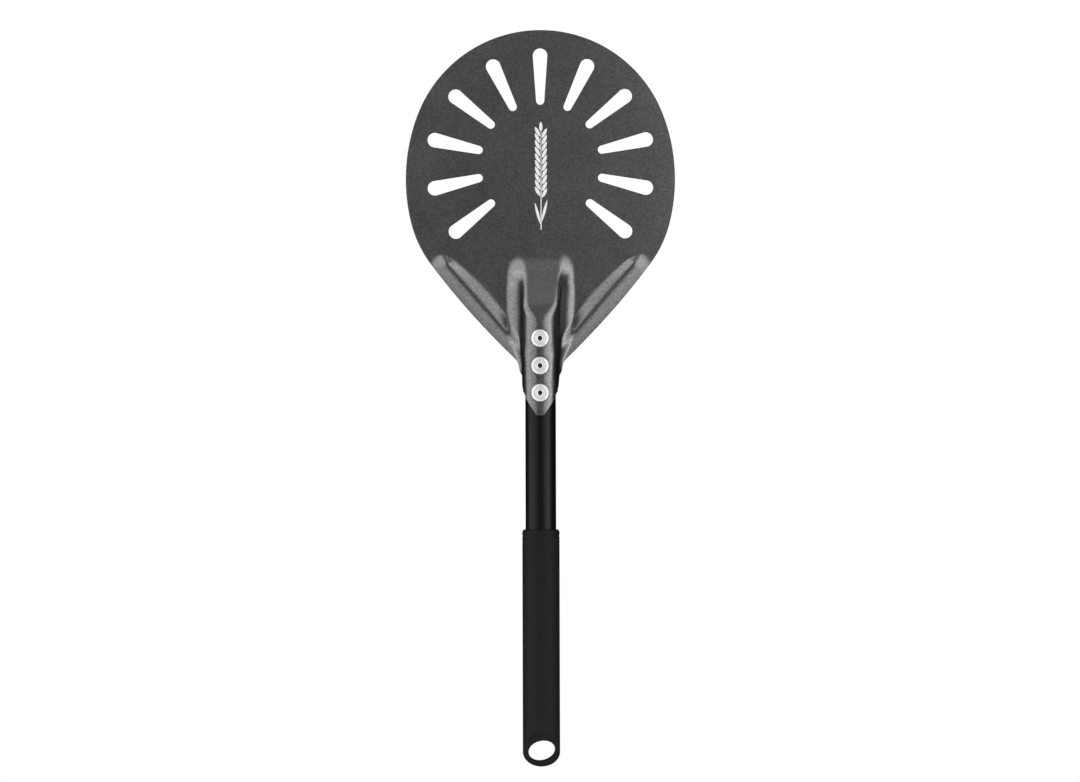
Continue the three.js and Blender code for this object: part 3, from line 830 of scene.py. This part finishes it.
def make_rivet(end, material):
    """Domed head seated on the half pipe, shank, and the bulb inside the tube."""
    low, high = cad_size(f"rivet_body_{end}")
    centre_y = (low[1] + high[1]) / 2
    head = (high[0] - low[0]) / 2
    top = high[2]
    shank = [(RIVET_BORE, BULB[0][1]), *BULB, (RIVET_SHANK, RIVET_SHANK_TOP)]
    seat = [(radius, RIVET_SEAT_Z) for radius in (RIVET_SHANK, 4.2, 5.3, head - 0.25)]
    rim = [
        (head - 0.03, RIVET_RIM_Z - 0.55), (head, RIVET_RIM_Z - 0.3),
        (head - 0.06, RIVET_RIM_Z - 0.05),
    ]
    dome = [
        (mix(RIVET_CROWN_RADIUS, head - 0.15, math.cos(t)), mix(RIVET_RIM_Z + 0.03, top, math.sin(t)))
        for t in np.linspace(0.05, math.pi / 2, 14)
    ]
    well = [
        (3.42, top - 0.1), (3.25, top - 0.13), (2.6, top - 0.1), (2.15, top - 0.16),
        (1.85, top - 0.4), (RIVET_BORE, top - 0.7),
    ]
    x, y, z, faces = spin(shank + seat + rim + dome + well, RIVET_SIDES)
    z = z.copy()
    first = len(shank)
    seat_radius = ARCH_RADIUS + SHEET / 2 + RIVET_SEAT_GAP
    last = first + len(seat)
    for j in range(first, last):
        z[:, j] = AXIS_Z + np.sqrt(seat_radius ** 2 - x[:, j] ** 2)
    z[:, last] = np.minimum(z[:, last], z[:, last - 1] + 0.3)
    points = np.stack([x, y + centre_y, z], axis=-1).reshape(-1, 3)
    piece = make_object(f"rivet_{end}", points, faces, [material])
    recalculate_normals(piece)
    return piece


def make_mandrel(end, material):
    """What is left of the pulled pin: its head in the bulb and its broken end in the bore."""
    low, high = cad_size(f"rivet_mandrel_{end}")
    centre_y = (low[1] + high[1]) / 2
    head = (high[0] - low[0]) / 2
    bottom, top = low[2], high[2]
    neck = bottom + MANDREL_HEAD_LENGTH
    outline = rounded([
        (0.02, bottom, 0), (head, bottom, 1.2), (head, neck, 0.4), (MANDREL_RADIUS, neck, 0.2),
        (MANDREL_RADIUS, top, 0.35), (0.9, top - 0.05, 0), (0.5, top - 0.35, 0), (0.02, top - 0.4, 0),
    ])
    x, y, z, faces = spin(outline, MANDREL_SIDES)
    points = np.stack([x, y + centre_y, z], axis=-1).reshape(-1, 3)
    piece = make_object(f"mandrel_{end}", points, faces, [material])
    recalculate_normals(piece)
    return piece


# Materials ---------------------------------------------------------------------

class Nodes:
    """A node material around one Principled shader."""

    def __init__(self, name):
        self.material = bpy.data.materials.new(name)
        self.material.use_nodes = True
        self.tree = self.material.node_tree
        self.shader = self.tree.nodes["Principled BSDF"]
        self.place = self.node("ShaderNodeTexCoord").outputs["Object"]

    def node(self, kind, **settings):
        node = self.tree.nodes.new(kind)
        for key, value in settings.items():
            setattr(node, key, value)
        return node

    def link(self, source, target):
        self.tree.links.new(source, target)

    def noise(self, scale, detail=2.0, stretch=(1, 1, 1), roughness=0.5):
        mapping = self.node("ShaderNodeMapping")
        mapping.inputs["Scale"].default_value = stretch
        self.link(self.place, mapping.inputs["Vector"])
        noise = self.node("ShaderNodeTexNoise")
        noise.inputs["Scale"].default_value = scale
        noise.inputs["Detail"].default_value = detail
        noise.inputs["Roughness"].default_value = roughness
        self.link(mapping.outputs["Vector"], noise.inputs["Vector"])
        return noise.outputs["Fac"]

    def ramp(self, source, low, high, to_low, to_high):
        node = self.node("ShaderNodeMapRange")
        for key, value in zip(("From Min", "From Max", "To Min", "To Max"), (low, high, to_low, to_high)):
            node.inputs[key].default_value = value
        self.link(source, node.inputs["Value"])
        return node.outputs["Result"]

    def blend(self, factor, dark, light):
        node = self.node("ShaderNodeMix", data_type="RGBA")
        self.link(factor, node.inputs["Factor"])
        node.inputs["A"].default_value = (*dark, 1)
        node.inputs["B"].default_value = (*light, 1)
        return node.outputs["Result"]

    def bump(self, *layers):
        """Bump from (height, strength, distance) layers, one on the next."""
        previous = None
        for height, strength, distance in layers:
            node = self.node("ShaderNodeBump")
            node.inputs["Strength"].default_value = strength
            node.inputs["Distance"].default_value = distance
            self.link(height, node.inputs["Height"])
            if previous:
                self.link(previous, node.inputs["Normal"])
            previous = node.outputs["Normal"]
        self.link(previous, self.shader.inputs["Normal"])

    def set(self, **values):
        for key, value in values.items():
            self.shader.inputs[key.replace("_", " ").title().replace("Ior", "IOR")].default_value = value


def grey(value):
    """A grey with a trace of blue."""
    return (value, value, value * 1.01)


def blasted_anodised(name):
    """Dark grey hard-anodised aluminium with a fine sand-blasted grain."""
    nodes = Nodes(name)
    grain = nodes.noise(700, detail=3, roughness=0.6)
    cloud = nodes.noise(28, detail=4)
    mottle = nodes.noise(240, detail=2)
    colour = nodes.blend(nodes.ramp(grain, 0.3, 0.7, 0, 1), grey(0.14), grey(0.26))
    nodes.link(colour, nodes.shader.inputs["Base Color"])
    nodes.link(nodes.ramp(cloud, 0.3, 0.7, 0.28, 0.33), nodes.shader.inputs["Roughness"])
    nodes.set(metallic=1)
    nodes.shader.inputs["Specular Tint"].default_value = (*grey(0.2), 1)
    nodes.bump((grain, 0.13, 0.0002), (mottle, 0.06, 0.0004), (cloud, 0.05, 0.0008))
    return nodes.material


def satin_anodised(name):
    """Black satin anodised tube with faint draw lines along it."""
    nodes = Nodes(name)
    lines = nodes.noise(900, detail=2, stretch=(1, 0.02, 1))
    cloud = nodes.noise(40, detail=3)
    nodes.link(nodes.blend(cloud, grey(0.003), grey(0.005)), nodes.shader.inputs["Base Color"])
    nodes.link(nodes.ramp(lines, 0.3, 0.7, 0.27, 0.34), nodes.shader.inputs["Roughness"])
    nodes.shader.inputs["Specular IOR Level"].default_value = 0.2
    nodes.bump((lines, 0.06, 0.0001))
    return nodes.material


def moulded_plastic(name):
    """Matte black moulded plastic with a fine spark-eroded texture."""
    nodes = Nodes(name)
    grain = nodes.noise(1400, detail=2)
    cloud = nodes.noise(60, detail=3)
    nodes.link(nodes.blend(cloud, grey(0.011), grey(0.014)), nodes.shader.inputs["Base Color"])
    nodes.link(nodes.ramp(cloud, 0.3, 0.7, 0.5, 0.58), nodes.shader.inputs["Roughness"])
    nodes.shader.inputs["Specular IOR Level"].default_value = 0.08
    nodes.bump((grain, 0.15, 0.0001))
    return nodes.material


def bright_aluminium(name):
    """Bright aluminium of the rivets, with a fine grain."""
    nodes = Nodes(name)
    fine = nodes.noise(700, detail=3)
    nodes.link(nodes.blend(fine, grey(0.93), grey(0.98)), nodes.shader.inputs["Base Color"])
    nodes.link(nodes.ramp(fine, 0.3, 0.7, 0.38, 0.48), nodes.shader.inputs["Roughness"])
    nodes.set(metallic=0.8)
    nodes.bump((fine, 0.05, 0.0001))
    return nodes.material


def plain_steel(name):
    """Dark broken steel of the mandrels."""
    nodes = Nodes(name)
    fine = nodes.noise(900, detail=3)
    nodes.link(nodes.blend(fine, grey(0.01), grey(0.03)), nodes.shader.inputs["Base Color"])
    nodes.set(metallic=0.5, roughness=0.6)
    nodes.bump((fine, 0.2, 0.0002))
    return nodes.material


def white_print(name):
    """White screen print, a little worn."""
    nodes = Nodes(name)
    worn = nodes.noise(900, detail=3)
    nodes.link(nodes.blend(worn, grey(0.72), grey(0.9)), nodes.shader.inputs["Base Color"])
    nodes.set(roughness=0.5)
    nodes.bump((worn, 0.05, 0.0001))
    return nodes.material


# Studio ------------------------------------------------------------------------

def emitter(name, strength):
    """A material that only glows."""
    material = bpy.data.materials.new(name)
    material.use_nodes = True
    tree = material.node_tree
    tree.nodes.clear()
    glow = tree.nodes.new("ShaderNodeEmission")
    glow.inputs["Strength"].default_value = strength
    output = tree.nodes.new("ShaderNodeOutputMaterial")
    tree.links.new(glow.outputs["Emission"], output.inputs["Surface"])
    return material


def seen_only(piece):
    """The camera sees this piece, but it neither lights nor mirrors in anything."""
    piece.visible_diffuse = False
    piece.visible_glossy = False
    piece.visible_transmission = False
    piece.visible_volume_scatter = False
    piece.visible_shadow = False


def make_backdrop(centre):
    """White floor and dome that show behind the peel and leave its light alone."""
    white = emitter("backdrop_white", 1.0)
    bpy.ops.mesh.primitive_plane_add(size=40, location=(centre.x, centre.y, cad_box[0][2] - 0.0005))
    floor = bpy.context.object
    floor.name = "floor"
    bpy.ops.mesh.primitive_uv_sphere_add(radius=19, location=centre)
    dome = bpy.context.object
    dome.name = "backdrop"
    for piece in (floor, dome):
        piece.data.materials.append(white)
        seen_only(piece)


def make_softbox(name, aim_y, turn, low, high, radiance, length):
    """A long soft panel facing a point on the peel's axis, between two angles from the
    vertical, on the side that turn points to (0 is +X, 90 is +Y)."""
    tilt, turn = math.radians((low + high) / 2), math.radians(turn)
    width = 2 * LIGHT_DISTANCE * math.tan(math.radians(high - low) / 2)
    data = bpy.data.lights.new(name, "AREA")
    data.shape = "RECTANGLE"
    data.size, data.size_y = width, length
    data.energy = math.pi * width * length * radiance
    panel = bpy.data.objects.new(name, data)
    side = Vector((math.cos(turn), math.sin(turn), 0))
    aim = Vector((0, aim_y, LIGHT_HEIGHT))
    panel.location = aim + LIGHT_DISTANCE * (side * math.sin(tilt) + Vector((0, 0, math.cos(tilt))))
    panel.rotation_euler = (0, tilt, turn)
    panel.visible_camera = False
    bpy.context.scene.collection.objects.link(panel)


def make_world():
    """Dark surroundings: all the light comes from the softboxes."""
    world = bpy.data.worlds.new("studio")
    bpy.context.scene.world = world
    world.use_nodes = True
    world.node_tree.nodes["Background"].inputs["Strength"].default_value = 0


def make_camera():
    """A long lens looking down, leaned and rolled a little."""
    data = bpy.data.cameras.new("camera")
    data.lens = CAMERA_LENS
    data.sensor_width = CAMERA_SENSOR
    distance = FRAME_WIDTH * CAMERA_LENS / CAMERA_SENSOR
    camera = bpy.data.objects.new("camera", data)
    camera.location = (
        distance * math.sin(CAMERA_LEAN) + FRAME_CENTRE[1] * math.sin(CAMERA_ROLL) + FRAME_CENTRE[0],
        FRAME_CENTRE[1],
        distance * math.cos(CAMERA_LEAN),
    )
    camera.rotation_euler = (0, CAMERA_LEAN, -CAMERA_ROLL)
    bpy.context.scene.collection.objects.link(camera)
    bpy.context.scene.camera = camera


# Assembly ----------------------------------------------------------------------

def place(piece, slot, *nodes):
    """Puts a piece on the one body, in the place of CAD nodes, which it hides. The slot argument is not
    used.
    """
    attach(piece, "root")
    if nodes:
        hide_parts(*nodes)


make_camera()
bpy.context.scene.view_settings.view_transform = "Standard"

place(make_blade(blasted_anodised("blasted_anodised")), "blade_sheet", "blade")
place(make_ornament(white_print("white_print")), "blade_sheet")
place(make_tube(satin_anodised("satin_anodised")), "tube_finish", "handle_tube")
place(make_grip(moulded_plastic("moulded_plastic")), "grip_plastic", "grip")
rivet_metal = bright_aluminium("bright_aluminium")
mandrel_metal = plain_steel("plain_steel")
for rivet_end in RIVET_ENDS:
    place(make_rivet(rivet_end, rivet_metal), "rivet_body", f"rivet_body_{rivet_end}")
    place(make_mandrel(rivet_end, mandrel_metal), "rivet_mandrel", f"rivet_mandrel_{rivet_end}")

make_backdrop(Vector((0, -0.17, 0)))
make_world()
for softbox in SOFTBOXES:
    make_softbox(*softbox)
